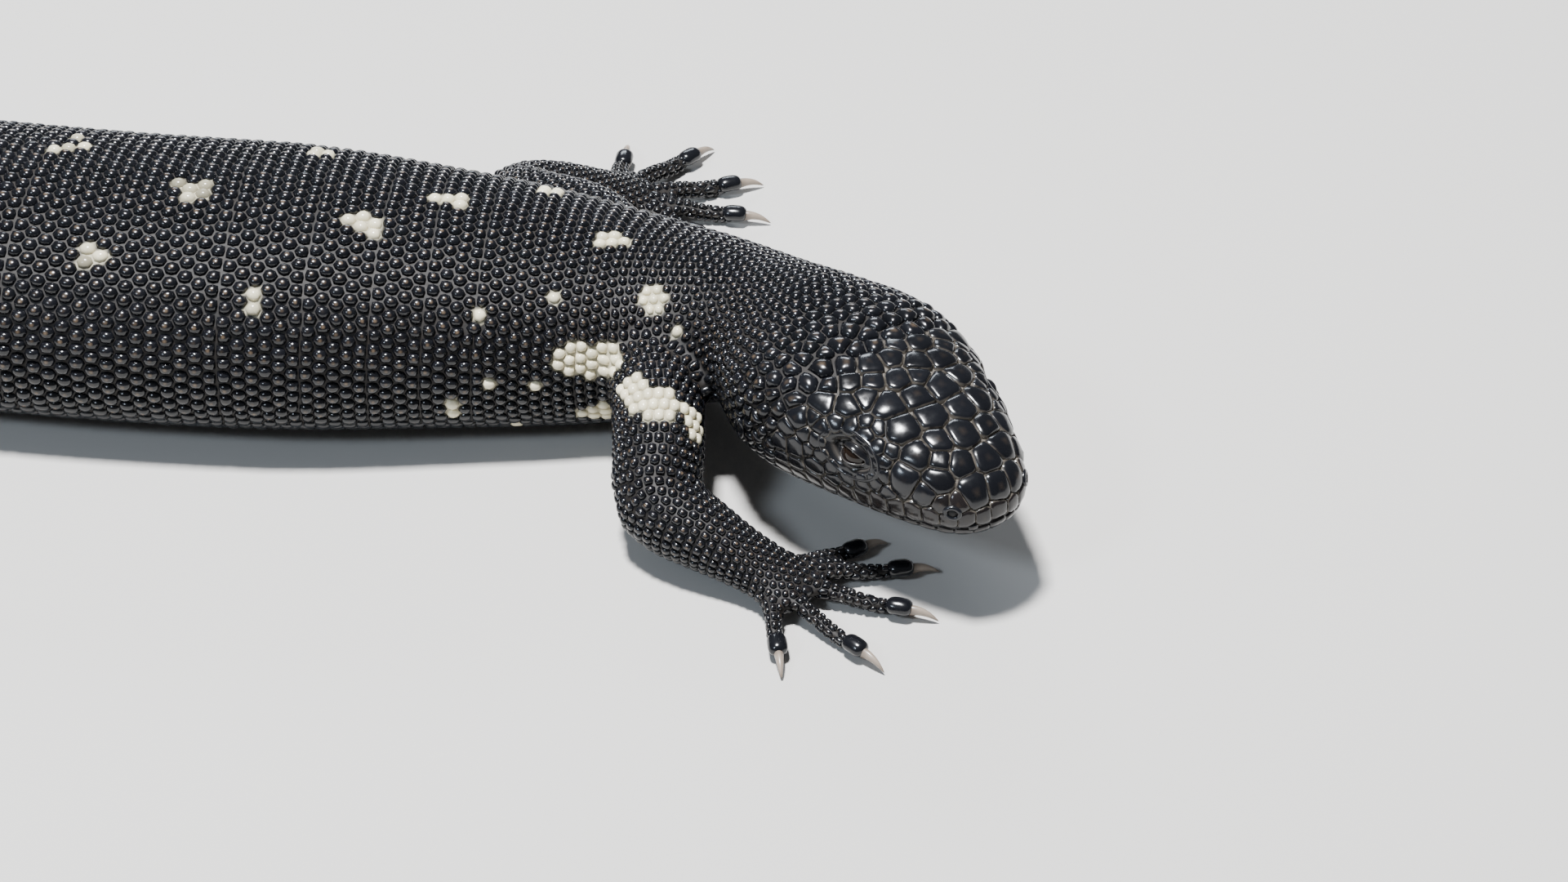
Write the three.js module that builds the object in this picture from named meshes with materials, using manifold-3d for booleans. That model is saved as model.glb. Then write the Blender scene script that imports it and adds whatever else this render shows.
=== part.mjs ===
// A life-size beaded lizard, lying on its belly with its head lifted and turned to its right.
// Millimetres. +X is the way the trunk points, +Y is the lizard's left, +Z is up, and the floor is at Z = 0.
import * as THREE from "three";
import { mergeVertices } from "three/addons/utils/BufferGeometryUtils.js";
import Module from "manifold-3d";

const wasm = await Module();
wasm.setup();

// Driving dimensions. Stations along the back are counted from the snout tip, s = 0.
const TOTAL_LENGTH = 600;
const GAP = 0.3;
const FINEST = 0.02;
const NECK_START = 61;
const SHOULDER = 92;
const WAIST = 215;
const TAIL_START = 352;
const TAIL_MIDDLE = 425;
const TAIL_END = 505;
const MOUTH_CORNER = 37;
const EYE_STATION = 25;
const EYE_RADIUS = 3.0;
const EYE_OUT = 16.1;
const EYE_UP = 5.6;
const DIGITS = 5;
const NOSTRIL = [4.6, 8.6, 2.6];
const EAR = [51.5, 23.4, -2.5];

// Heading of the backbone, in degrees from +X, at stations from the snout to the tail tip.
const HEADING = [
  [0, -53], [56, -53], [72, -43], [90, -24], [110, -8], [150, -4],
  [230, -9], [300, -18], [352, -20], [420, -4], [500, 18], [560, 28], [600, 30],
];

// Station, half width, height above the axis, depth below the axis, height of the axis over the floor.
const BODY = [
  [0, 3.2, 2.2, 2.0, 22.5],
  [1, 6.2, 4.4, 3.6, 22.6],
  [3.5, 9.4, 7.0, 5.3, 22.9],
  [8, 12.2, 9.6, 6.9, 23.3],
  [15, 15.4, 11.6, 8.4, 23.8],
  [24, 18.6, 13.4, 10.2, 24.4],
  [34, 21.9, 14.4, 12.2, 25.2],
  [45, 24.2, 14.8, 13.8, 25.8],
  [53, 24.0, 14.4, 14.0, 25.8],
  [61, 21.6, 13.8, 13.4, 25.4],
  [74, 18.6, 13.6, 13.8, 23.8],
  [88, 20.6, 15.2, 16.0, 21.0],
  [104, 25.0, 18.0, 18.8, 18.6],
  [130, 30.0, 21.5, 19.5, 19.2],
  [180, 35.5, 25.0, 21.0, 20.6],
  [240, 36.0, 25.0, 21.0, 20.6],
  [290, 31.0, 22.5, 19.5, 19.2],
  [325, 24.5, 19.0, 17.5, 17.2],
  [352, 18.8, 16.2, 15.6, 15.2],
  [380, 16.6, 15.0, 14.8, 14.4],
  [430, 15.4, 13.8, 13.8, 13.4],
  [490, 12.6, 11.2, 11.4, 11.0],
  [545, 8.6, 7.8, 8.0, 7.6],
  [580, 5.2, 4.9, 5.0, 4.6],
  [596, 2.8, 2.7, 2.8, 2.4],
  [600, 1.2, 1.2, 1.2, 0.9],
];

// Rows of raised head plates: station, and the distance between plates across the head.
const PLATE_ROWS = [
  [4, 4.6], [9, 5.2], [14.4, 5.7], [20, 6.0], [25.8, 6.0],
  [31.6, 6.0], [37.2, 5.8], [42.6, 5.4], [47.6, 5.0],
];
const PLATE_SPAN = [20, 160];
const PLATE_RISE = 0.55;
const PLATE_ROOT = 0.9;

// How square a cross-section is above and below its widest line: 2 is an ellipse.
const SQUARENESS_TOP = [[0, 2.3], [20, 2.7], [45, 2.5], [75, 2.1], [130, 2.1], [600, 2.0]];
const SQUARENESS_BOTTOM = [[0, 2.3], [45, 2.6], [75, 2.2], [130, 2.6], [330, 2.6], [380, 2.2], [600, 2.0]];

const radians = THREE.MathUtils.degToRad;
const UPWARD = new THREE.Vector3(0, 0, 1);

// A smooth curve through rows of [station, value...], read at one station.
function profile(rows, s, column = 1) {
  const last = rows.length - 1;
  if (s <= rows[0][0]) return rows[0][column];
  if (s >= rows[last][0]) return rows[last][column];
  let i = 0;
  while (s > rows[i + 1][0]) i += 1;
  const slope = (k) => {
    if (k <= 0 || k >= last) return 0;
    const before = (rows[k][column] - rows[k - 1][column]) / (rows[k][0] - rows[k - 1][0]);
    const after = (rows[k + 1][column] - rows[k][column]) / (rows[k + 1][0] - rows[k][0]);
    return before * after <= 0 ? 0 : (2 * before * after) / (before + after);
  };
  const span = rows[i + 1][0] - rows[i][0];
  const t = (s - rows[i][0]) / span;
  const rise = rows[i + 1][column] - rows[i][column];
  const start = slope(i) * span;
  const end = slope(i + 1) * span;
  const bend = t * t * (3 * rise - 2 * start - end) + t * t * t * (start + end - 2 * rise);
  return rows[i][column] + t * start + bend;
}

// The backbone's plan, walked back from the snout in 1 mm steps.
const SPINE = [[0, 0]];
for (let s = 0; s < TOTAL_LENGTH + 1; s += 1) {
  const heading = radians(profile(HEADING, s + 0.5));
  const [x, y] = SPINE[s];
  SPINE.push([x - Math.cos(heading), y - Math.sin(heading)]);
}

function spinePoint(s) {
  const i = Math.min(Math.max(Math.floor(s), 0), TOTAL_LENGTH);
  const t = s - i;
  const x = SPINE[i][0] + (SPINE[i + 1][0] - SPINE[i][0]) * t;
  const y = SPINE[i][1] + (SPINE[i + 1][1] - SPINE[i][1]) * t;
  return new THREE.Vector3(x, y, profile(BODY, s, 4));
}

// The axes of a cross-section: forward, the lizard's left, and up.
function spineFrame(s) {
  const ahead = spinePoint(s - 1.5);
  const behind = spinePoint(s + 1.5);
  const forward = ahead.sub(behind).normalize();
  const left = new THREE.Vector3(-forward.y, forward.x, 0).normalize();
  return { centre: spinePoint(s), forward, left, up: forward.clone().cross(left) };
}

// A point on the skin: angle 0 is the lizard's left, 90 degrees its back, and grow stands off the surface.
function skinPoint(s, angle, grow = 0) {
  const { centre, left, up } = spineFrame(s);
  const c = Math.cos(angle);
  const n = Math.sin(angle);
  const power = 2 / profile(n > 0 ? SQUARENESS_TOP : SQUARENESS_BOTTOM, s);
  const across = Math.sign(c) * Math.abs(c) ** power * (profile(BODY, s, 1) + grow);
  const height = n > 0 ? profile(BODY, s, 2) : profile(BODY, s, 3);
  const rise = Math.sign(n) * Math.abs(n) ** power * (height + grow);
  return centre.clone().addScaledVector(left, across).addScaledVector(up, rise);
}

// A closed mesh from rings of points, each end closed by a fan to its middle.
function loft(rings) {
  const sides = rings[0].length;
  const positions = rings.flat().flatMap((p) => [p.x, p.y, p.z]);
  const faces = [];
  for (let i = 0; i + 1 < rings.length; i += 1) {
    for (let j = 0; j < sides; j += 1) {
      const a = i * sides + j;
      const b = i * sides + ((j + 1) % sides);
      const flip = (i + j) % 2 === 0;
      if (flip) faces.push(a, b, a + sides, b, b + sides, a + sides);
      else faces.push(a, b, b + sides, a, b + sides, a + sides);
    }
  }
  for (const [row, turn] of [[0, true], [rings.length - 1, false]]) {
    const middle = new THREE.Vector3();
    rings[row].forEach((p) => middle.add(p));
    middle.divideScalar(sides);
    const hub = positions.length / 3;
    positions.push(middle.x, middle.y, middle.z);
    for (let j = 0; j < sides; j += 1) {
      const a = row * sides + j;
      const b = row * sides + ((j + 1) % sides);
      faces.push(...(turn ? [b, a, hub] : [a, b, hub]));
    }
  }
  return solid(positions, faces);
}

function solid(positions, faces) {
  const vertProperties = new Float32Array(positions);
  const made = (order) =>
    new wasm.Manifold(new wasm.Mesh({ numProp: 3, vertProperties, triVerts: new Uint32Array(order) }));
  const first = made(faces);
  if (first.volume() > 0) return first;
  const turned = [];
  for (let i = 0; i < faces.length; i += 3) turned.push(faces[i], faces[i + 2], faces[i + 1]);
  return made(turned);
}

// A three.js geometry, moved by a matrix, as a solid.
function solidOf(geometry, matrix = new THREE.Matrix4()) {
  const bare = geometry.clone().applyMatrix4(matrix);
  bare.deleteAttribute("normal");
  bare.deleteAttribute("uv");
  const merged = mergeVertices(bare, 1e-4);
  return solid(Array.from(merged.attributes.position.array), Array.from(merged.index.array));
}

function largest(shape) {
  return shape.decompose().reduce((best, one) => (one.volume() > best.volume() ? one : best));
}

// The half-space above the floor, with which each piece gets its flat foot.
const ABOVE_FLOOR = solidOf(new THREE.BoxGeometry(1600, 1600, 400).translate(0, 0, 200));

const group = new THREE.Group();

function addNode(name, shape, material) {
  const clean = largest(shape.intersect(ABOVE_FLOOR).simplify(FINEST));
  const { vertProperties, triVerts, numProp, numVert } = clean.getMesh();
  const positions = new Float32Array(numVert * 3);
  for (let i = 0; i < numVert; i += 1) {
    positions.set(vertProperties.subarray(i * numProp, i * numProp + 3), i * 3);
  }
  const geometry = new THREE.BufferGeometry();
  geometry.setAttribute("position", new THREE.BufferAttribute(positions, 3));
  geometry.setIndex(new THREE.BufferAttribute(new Uint32Array(triVerts), 1));
  geometry.computeVertexNormals();
  const mesh = new THREE.Mesh(geometry, material);
  mesh.name = name;
  group.add(mesh);
  return clean;
}

const BLACK_SKIN = new THREE.MeshStandardMaterial({ color: 0x17181c, roughness: 0.32, metalness: 0 });
const EYE = new THREE.MeshStandardMaterial({ color: 0x140d0a, roughness: 0.08, metalness: 0 });
const CLAW = new THREE.MeshStandardMaterial({ color: 0xa8917f, roughness: 0.35, metalness: 0 });

// A length of the body between two stations.
function bodyLength(from, to, step, sides, grow = 0) {
  const count = Math.max(2, Math.round((to - from) / step));
  const rings = [];
  for (let i = 0; i <= count; i += 1) {
    const s = from + ((to - from) * i) / count;
    const ring = [];
    for (let j = 0; j < sides; j += 1) ring.push(skinPoint(s, (2 * Math.PI * j) / sides, grow));
    rings.push(ring);
  }
  return loft(rings);
}

// The head, whose rings crowd together round the blunt snout.
function headSolid(sides = 30, rows = 21) {
  const rings = [];
  const end = NECK_START - GAP / 2;
  for (let i = 0; i <= rows; i += 1) {
    const s = end * (i / rows) ** 1.6;
    const ring = [];
    for (let j = 0; j < sides; j += 1) ring.push(skinPoint(s, (2 * Math.PI * j) / sides));
    rings.push(ring);
  }
  return loft(rings);
}

// A place in the head's own frame: back from the snout, to the left, and up from the axis at that station.
function headMatrix(s, left, up, direction) {
  const frame = spineFrame(s);
  const origin = frame.centre.clone().addScaledVector(frame.left, left).addScaledVector(frame.up, up);
  const aim = direction
    ? frame.forward
        .clone()
        .multiplyScalar(direction[0])
        .addScaledVector(frame.left, direction[1])
        .addScaledVector(frame.up, direction[2])
        .normalize()
    : frame.up.clone();
  const turn = new THREE.Quaternion().setFromUnitVectors(UPWARD, aim);
  return new THREE.Matrix4().compose(origin, turn, new THREE.Vector3(1, 1, 1));
}

// The space under the line of the mouth, back to the corner of the mouth.
function underMouth(shift) {
  const lip = [[-8, -0.8], [2, -1.0], [10, -1.6], [20, -2.7], [30, -3.6], [MOUTH_CORNER, -4.6]];
  const rows = lip.map(([s, up]) => [s, up + shift]);
  const back = MOUTH_CORNER + 9 + shift;
  const outline = [...rows, [back, -9 + shift], [back, -40], [-8, -40]].reverse();
  const positions = [];
  for (const side of [-40, 40]) {
    for (const [s, up] of outline) {
      const frame = spineFrame(0);
      const p = frame.centre.clone().addScaledVector(frame.forward, -s).addScaledVector(frame.left, side);
      p.addScaledVector(frame.up, up);
      positions.push(p.x, p.y, p.z);
    }
  }
  const n = outline.length;
  const contour = outline.map(([s, up]) => new THREE.Vector2(s, up));
  const faces = [];
  for (const [a, b, c] of THREE.ShapeUtils.triangulateShape(contour, [])) {
    faces.push(a, b, c, n + a, n + c, n + b);
  }
  for (let i = 0; i < n; i += 1) {
    const k = (i + 1) % n;
    faces.push(i, n + i, k, k, n + i, n + k);
  }
  return solid(positions, faces);
}

// A tapering tube along a curve, read between two shares of its length.
// Its radii are rows of [share, across, deep].
function limbLength(curve, radii, from, to, steps, sides) {
  const rings = [];
  for (let i = 0; i <= steps; i += 1) {
    const t = from + ((to - from) * i) / steps;
    const centre = curve.getPointAt(t);
    const along = curve.getTangentAt(t);
    const across = new THREE.Vector3(0, 0, 1).cross(along).normalize();
    const up = along.clone().cross(across).normalize();
    const wide = profile(radii, t, 1);
    const deep = profile(radii, t, 2);
    const ring = [];
    for (let j = 0; j < sides; j += 1) {
      const angle = (2 * Math.PI * j) / sides;
      const p = centre.clone().addScaledVector(across, Math.cos(angle) * wide);
      ring.push(p.addScaledVector(up, Math.sin(angle) * deep));
    }
    rings.push(ring);
  }
  return loft(rings);
}

// The space on the far side of a flat cut across a limb.
function beyond(curve, share, shift) {
  const reach = 90;
  const along = curve.getTangentAt(share);
  const turn = new THREE.Quaternion().setFromUnitVectors(UPWARD, along);
  const place = curve.getPointAt(share).addScaledVector(along, shift + reach / 2);
  return solidOf(
    new THREE.BoxGeometry(reach, reach, reach),
    new THREE.Matrix4().compose(place, turn, new THREE.Vector3(1, 1, 1)),
  );
}

// Where each leg leaves the body, and where its elbow or knee, wrist or ankle and palm lie, as
// [back along the spine from the root, out to the side from the axis, height].
const LEGS = {
  fore_right: {
    side: -1, root: 101, outer: "forearm", inner: "upper_arm", foot: "hand", front: true,
    joints: [
      [-4, 12, 18], [-10.8, 29.4, 19], [-14, 41, 15.5], [-16, 49, 11], [-26, 54, 9.2], [-38, 57.3, 5.6],
      [-46, 59.3, 3.3],
    ],
    palmHeading: -28, fan: [61, 38, 14, -17, -56], lengths: [15.5, 23.5, 24.5, 22.5, 14],
  },
  fore_left: {
    side: 1, root: 105, outer: "forearm", inner: "upper_arm", foot: "hand", front: true,
    joints: [
      [0, 12, 17], [12, 28, 17.5], [27, 38, 14], [32, 46, 10.5], [26, 53, 8.5], [16, 58, 5.6], [9, 62, 3.3],
    ],
    palmHeading: 30, fan: [58, 35, 12, -17, -54], lengths: [15.5, 23.5, 24.5, 22.5, 14],
  },
  hind_right: {
    side: -1, root: 322, outer: "shank", inner: "thigh", foot: "foot", front: false,
    joints: [
      [0, 11, 16], [-6, 30, 17], [-13, 44, 15], [-8, 52, 11.5], [6, 57, 8.5], [15, 62, 5.4], [12, 69, 3.3],
    ],
    palmHeading: -60, fan: [54, 31, 8, -16, -46], lengths: [14, 20, 23, 23, 16],
  },
  hind_left: {
    side: 1, root: 322, outer: "shank", inner: "thigh", foot: "foot", front: false,
    joints: [
      [0, 11, 16], [4, 30, 17], [4, 44, 15], [10, 52, 11.5], [22, 57, 8.5], [29, 62, 5.4], [25, 69, 3.3],
    ],
    palmHeading: 28, fan: [54, 31, 8, -16, -46], lengths: [14, 20, 23, 23, 16],
  },
};

// Share of the way down the leg, half width and half depth there.
const FORE_RADII = [
  [0, 9.8, 10.0], [0.3, 9.4, 9.4], [0.5, 9.2, 8.8], [0.66, 8.4, 7.8], [0.84, 6.9, 5.6], [1, 7.6, 3.7],
];
const HIND_RADII = [
  [0, 11.4, 10.8], [0.25, 10.8, 10.4], [0.45, 9.6, 9.2], [0.64, 8.6, 7.9], [0.84, 6.9, 5.6], [1, 7.8, 3.7],
];
const ELBOW_SHARE = 0.5;
const WRIST_SHARE = 0.85;
const PALM_SPREAD = 2.4;
const DIGIT_RADIUS = 2.45;
const DIGIT_SHAPE = [[0, 1, 1], [0.55, 0.94, 0.94], [0.85, 0.92, 0.94], [1, 0.62, 0.68]];
const CLAW_LENGTH = 6.2;
const CLAW_RADII = [[0, 1.15, 1.35], [0.5, 0.8, 0.95], [1, 0.12, 0.14]];

function legPlaces(leg) {
  const frame = spineFrame(leg.root);
  const flatForward = new THREE.Vector3(frame.forward.x, frame.forward.y, 0).normalize();
  return leg.joints.map(([back, out, height]) => {
    const p = new THREE.Vector3(frame.centre.x, frame.centre.y, height);
    return p.addScaledVector(flatForward, -back).addScaledVector(frame.left, leg.side * out);
  });
}

// One digit: a low arch from the palm to the root of its claw, and the claw as a curved cone.
function digitCurves(base, heading, length) {
  const out = new THREE.Vector3(Math.cos(heading), Math.sin(heading), 0);
  const at = (share, height) => base.clone().addScaledVector(out, share).setZ(height);
  const digit = new THREE.CatmullRomCurve3([
    at(-1, 3.4), at(length * 0.36, 3.7), at(length * 0.72, 2.1), at(length, 1.9),
  ]);
  const claw = new THREE.CatmullRomCurve3([
    at(length + GAP, 2.1), at(length + CLAW_LENGTH * 0.55, 2.1), at(length + CLAW_LENGTH, 0.6),
  ]);
  return { digit, claw };
}

function thicker(radii, grow) {
  return radii.map(([share, across, deep]) => [share, across + grow, deep + grow]);
}

function buildLeg(name, leg, bodyAround) {
  const curve = new THREE.CatmullRomCurve3(legPlaces(leg));
  const radii = leg.front ? FORE_RADII : HIND_RADII;
  const whole = limbLength(curve, radii, 0, 1, 18, 14).subtract(bodyAround);
  const wristCut = beyond(curve, WRIST_SHARE, GAP / 2);
  const upper = whole.subtract(beyond(curve, ELBOW_SHARE, -GAP / 2));
  const rest = whole.intersect(beyond(curve, ELBOW_SHARE, GAP / 2));
  addNode(`${leg.inner}_${name}`, upper, BLACK_SKIN);
  addNode(`${leg.outer}_${name}`, rest.subtract(beyond(curve, WRIST_SHARE, -GAP / 2)), BLACK_SKIN);
  const heading = radians(leg.palmHeading);
  const acrossPalm = new THREE.Vector3(-Math.sin(heading), Math.cos(heading), 0).multiplyScalar(-leg.side);
  const fleshy = DIGIT_SHAPE.map(([share, wide, deep]) => [share, DIGIT_RADIUS * wide, DIGIT_RADIUS * deep]);
  const claws = [];
  let digits = null;
  for (let i = 0; i < DIGITS; i += 1) {
    const base = curve.getPointAt(0.95).addScaledVector(acrossPalm, PALM_SPREAD * (2 - i));
    const { digit, claw } = digitCurves(base, heading - leg.side * radians(leg.fan[i]), leg.lengths[i]);
    const one = limbLength(digit, fleshy, 0, 1, 6, 8);
    digits = digits ? digits.add(one) : one;
    claws.push(limbLength(claw, CLAW_RADII, 0, 1, 4, 6));
  }
  const sleeve = limbLength(curve, thicker(radii, GAP), 0, 1, 18, 14).subtract(wristCut);
  const foot = rest.intersect(wristCut).add(digits).subtract(sleeve);
  addNode(`${leg.foot}_${name}`, foot, BLACK_SKIN);
  claws.forEach((claw, i) => addNode(`claw_${name}_${i + 1}`, claw, CLAW));
}

// Evenly spread places for the plates of one row, each a point, its outward direction and its size.
function plateRow([s, spacing], odd) {
  const [first, last] = PLATE_SPAN.map(radians);
  const fine = 60;
  const points = [];
  for (let i = 0; i <= fine; i += 1) points.push(skinPoint(s, first + ((last - first) * i) / fine));
  const along = [0];
  for (let i = 1; i <= fine; i += 1) along.push(along[i - 1] + points[i].distanceTo(points[i - 1]));
  const count = Math.round(along[fine] / spacing);
  const spots = [];
  for (let k = 0; k < count; k += 1) {
    const want = (along[fine] * (k + (odd ? 0.25 : 0.75))) / count;
    let i = 0;
    while (along[i + 1] < want) i += 1;
    const share = i + (want - along[i]) / (along[i + 1] - along[i]);
    const angle = first + ((last - first) * share) / fine;
    const place = skinPoint(s, angle);
    const across = skinPoint(s, angle + 0.03).sub(skinPoint(s, angle - 0.03));
    const back = skinPoint(s + 0.5, angle).sub(skinPoint(Math.max(s - 0.5, 0), angle));
    const out = across.cross(back).normalize();
    if (out.dot(place.clone().sub(spinePoint(s))) < 0) out.negate();
    spots.push({ place, out, size: along[fine] / count });
  }
  return spots;
}

function headPlates() {
  const plates = [];
  PLATE_ROWS.forEach((row, i) => {
    for (const { place, out, size } of plateRow(row, i % 2 === 1)) {
      const tall = PLATE_RISE + PLATE_ROOT;
      const cone = new THREE.CylinderGeometry(size * 0.29, size * 0.47, tall, 5, 1);
      cone.rotateX(Math.PI / 2);
      const turn = new THREE.Quaternion().setFromUnitVectors(UPWARD, out);
      const middle = place.clone().addScaledVector(out, (PLATE_RISE - PLATE_ROOT) / 2);
      plates.push(solidOf(cone, new THREE.Matrix4().compose(middle, turn, new THREE.Vector3(1, 1, 1))));
    }
  });
  return plates;
}

const rawHead = headSolid();
const jaw = rawHead.intersect(underMouth(-GAP / 2));
let skull = rawHead.subtract(underMouth(GAP / 2));
const eyes = {};
const lids = [];
const sockets = [];
const pits = [];
for (const [name, side] of [["left", 1], ["right", -1]]) {
  const place = headMatrix(EYE_STATION, side * EYE_OUT, EYE_UP, [0.1, side, 0.42]);
  const lidShape = new THREE.TorusGeometry(EYE_RADIUS + 0.1, 0.95, 6, 14);
  lids.push(solidOf(lidShape.scale(1.12, 0.92, 1.1).translate(0, 0, 0.9), place));
  sockets.push(solidOf(new THREE.SphereGeometry(EYE_RADIUS + GAP, 14, 9), place));
  eyes[name] = solidOf(new THREE.SphereGeometry(EYE_RADIUS, 14, 9), place);
  const nostril = headMatrix(NOSTRIL[0], side * NOSTRIL[1], NOSTRIL[2], [0.5, side, 0.3]);
  pits.push(solidOf(new THREE.SphereGeometry(1.1, 8, 6), nostril));
  const ear = headMatrix(EAR[0], side * EAR[1], EAR[2], [0, side, 0]);
  pits.push(solidOf(new THREE.SphereGeometry(1, 8, 6).scale(0.9, 2.6, 1.6), ear));
}
skull = skull.add(wasm.Manifold.union([...headPlates(), ...lids]).subtract(underMouth(GAP / 2)));
skull = skull.subtract(wasm.Manifold.union([...sockets, ...pits]));
addNode("head", skull, BLACK_SKIN);
addNode("lower_jaw", jaw, BLACK_SKIN);
addNode("eye_left", eyes.left, EYE);
addNode("eye_right", eyes.right, EYE);
const half = GAP / 2;
addNode("neck", bodyLength(NECK_START + half, SHOULDER - half, 4, 26), BLACK_SKIN);
addNode("torso_front", bodyLength(SHOULDER + half, WAIST - half, 10, 26), BLACK_SKIN);
addNode("torso_rear", bodyLength(WAIST + half, TAIL_START - half, 10, 24), BLACK_SKIN);
addNode("tail_base", bodyLength(TAIL_START + half, TAIL_MIDDLE - half, 8, 20), BLACK_SKIN);
addNode("tail_middle", bodyLength(TAIL_MIDDLE + half, TAIL_END - half, 9, 16), BLACK_SKIN);
addNode("tail_tip", bodyLength(TAIL_END + half, TOTAL_LENGTH, 6, 16), BLACK_SKIN);
const bodyAround = bodyLength(NECK_START, TAIL_MIDDLE, 6, 32, GAP);
for (const [name, leg] of Object.entries(LEGS)) buildLeg(name, leg, bodyAround);

// The origin is moved to the middle of the box that holds the lizard, on the floor.
const box = new THREE.Box3().setFromObject(group, true);
group.position.set(-(box.min.x + box.max.x) / 2, -(box.min.y + box.max.y) / 2, -box.min.z);

export default group;
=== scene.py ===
import math
from collections import namedtuple
from itertools import product

import bpy
import numpy as np
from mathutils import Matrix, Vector
from mathutils.bvhtree import BVHTree
from mathutils.kdtree import KDTree


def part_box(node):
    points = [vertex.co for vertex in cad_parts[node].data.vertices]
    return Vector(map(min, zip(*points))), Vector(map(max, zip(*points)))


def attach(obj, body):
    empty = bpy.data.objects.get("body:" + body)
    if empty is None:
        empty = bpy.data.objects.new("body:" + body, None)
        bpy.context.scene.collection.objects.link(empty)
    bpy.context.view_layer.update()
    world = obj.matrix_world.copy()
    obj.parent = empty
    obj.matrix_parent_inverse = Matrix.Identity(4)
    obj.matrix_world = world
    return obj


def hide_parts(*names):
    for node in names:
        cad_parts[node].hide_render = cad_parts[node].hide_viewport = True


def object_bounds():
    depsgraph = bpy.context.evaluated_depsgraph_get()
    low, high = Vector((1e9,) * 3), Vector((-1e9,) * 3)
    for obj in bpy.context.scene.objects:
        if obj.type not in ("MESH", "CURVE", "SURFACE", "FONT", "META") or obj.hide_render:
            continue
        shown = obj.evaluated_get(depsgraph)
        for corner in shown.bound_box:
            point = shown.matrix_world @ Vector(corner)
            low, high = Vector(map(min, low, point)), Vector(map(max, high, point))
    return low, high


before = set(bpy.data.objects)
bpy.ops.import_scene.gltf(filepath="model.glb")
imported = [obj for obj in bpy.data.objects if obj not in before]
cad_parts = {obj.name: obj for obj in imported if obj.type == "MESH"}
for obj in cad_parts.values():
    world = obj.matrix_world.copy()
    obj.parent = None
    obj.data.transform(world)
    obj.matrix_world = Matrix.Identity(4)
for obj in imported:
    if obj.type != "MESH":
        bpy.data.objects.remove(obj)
bpy.ops.object.select_all(action="DESELECT")
cad_low, cad_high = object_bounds()

# Lengths are in millimetres until they become a mesh, which is in metres.
MM = 0.001
RANDOM = np.random.default_rng(7)

# The body's measures are the same as the solids'.
TOTAL_LENGTH = 600
NECK_START = 61
EYE_STATION = 25
EYE_LOOK = (0.1, 0.42)      # how far ahead and up an eye looks for each 1 to its side
# Station along the back, heading of the spine in degrees.
HEADING = [
    [0, -53], [56, -53], [72, -43], [90, -24], [110, -8], [150, -4],
    [230, -9], [300, -18], [352, -20], [420, -4], [500, 18], [560, 28], [600, 30],
]
# Station, half width, height over the spine, depth under it, height of the spine over the floor.
BODY = [
    [0, 3.2, 2.2, 2.0, 22.5], [1, 6.2, 4.4, 3.6, 22.6], [3.5, 9.4, 7.0, 5.3, 22.9],
    [8, 12.2, 9.6, 6.9, 23.3], [15, 15.4, 11.6, 8.4, 23.8], [24, 18.6, 13.4, 10.2, 24.4],
    [34, 21.9, 14.4, 12.2, 25.2], [45, 24.2, 14.8, 13.8, 25.8], [53, 24.0, 14.4, 14.0, 25.8],
    [61, 21.6, 13.8, 13.4, 25.4], [74, 18.6, 13.6, 13.8, 23.8], [88, 20.6, 15.2, 16.0, 21.0],
    [104, 25.0, 18.0, 18.8, 18.6], [130, 30.0, 21.5, 19.5, 19.2], [180, 35.5, 25.0, 21.0, 20.6],
    [240, 36.0, 25.0, 21.0, 20.6], [290, 31.0, 22.5, 19.5, 19.2], [325, 24.5, 19.0, 17.5, 17.2],
    [352, 18.8, 16.2, 15.6, 15.2], [380, 16.6, 15.0, 14.8, 14.4], [430, 15.4, 13.8, 13.8, 13.4],
    [490, 12.6, 11.2, 11.4, 11.0], [545, 8.6, 7.8, 8.0, 7.6], [580, 5.2, 4.9, 5.0, 4.6],
    [596, 2.8, 2.7, 2.8, 2.4], [600, 1.2, 1.2, 1.2, 0.9],
]
# Station, power of the section's curve: 2 is an ellipse, and more is squarer.
SQUARE_TOP = [[0, 2.3], [20, 2.7], [45, 2.5], [75, 2.1], [130, 2.1], [600, 2.0]]
SQUARE_BOTTOM = [
    [0, 2.3], [45, 2.6], [75, 2.2], [130, 2.6], [330, 2.6], [380, 2.2], [600, 2.0],
]
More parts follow.
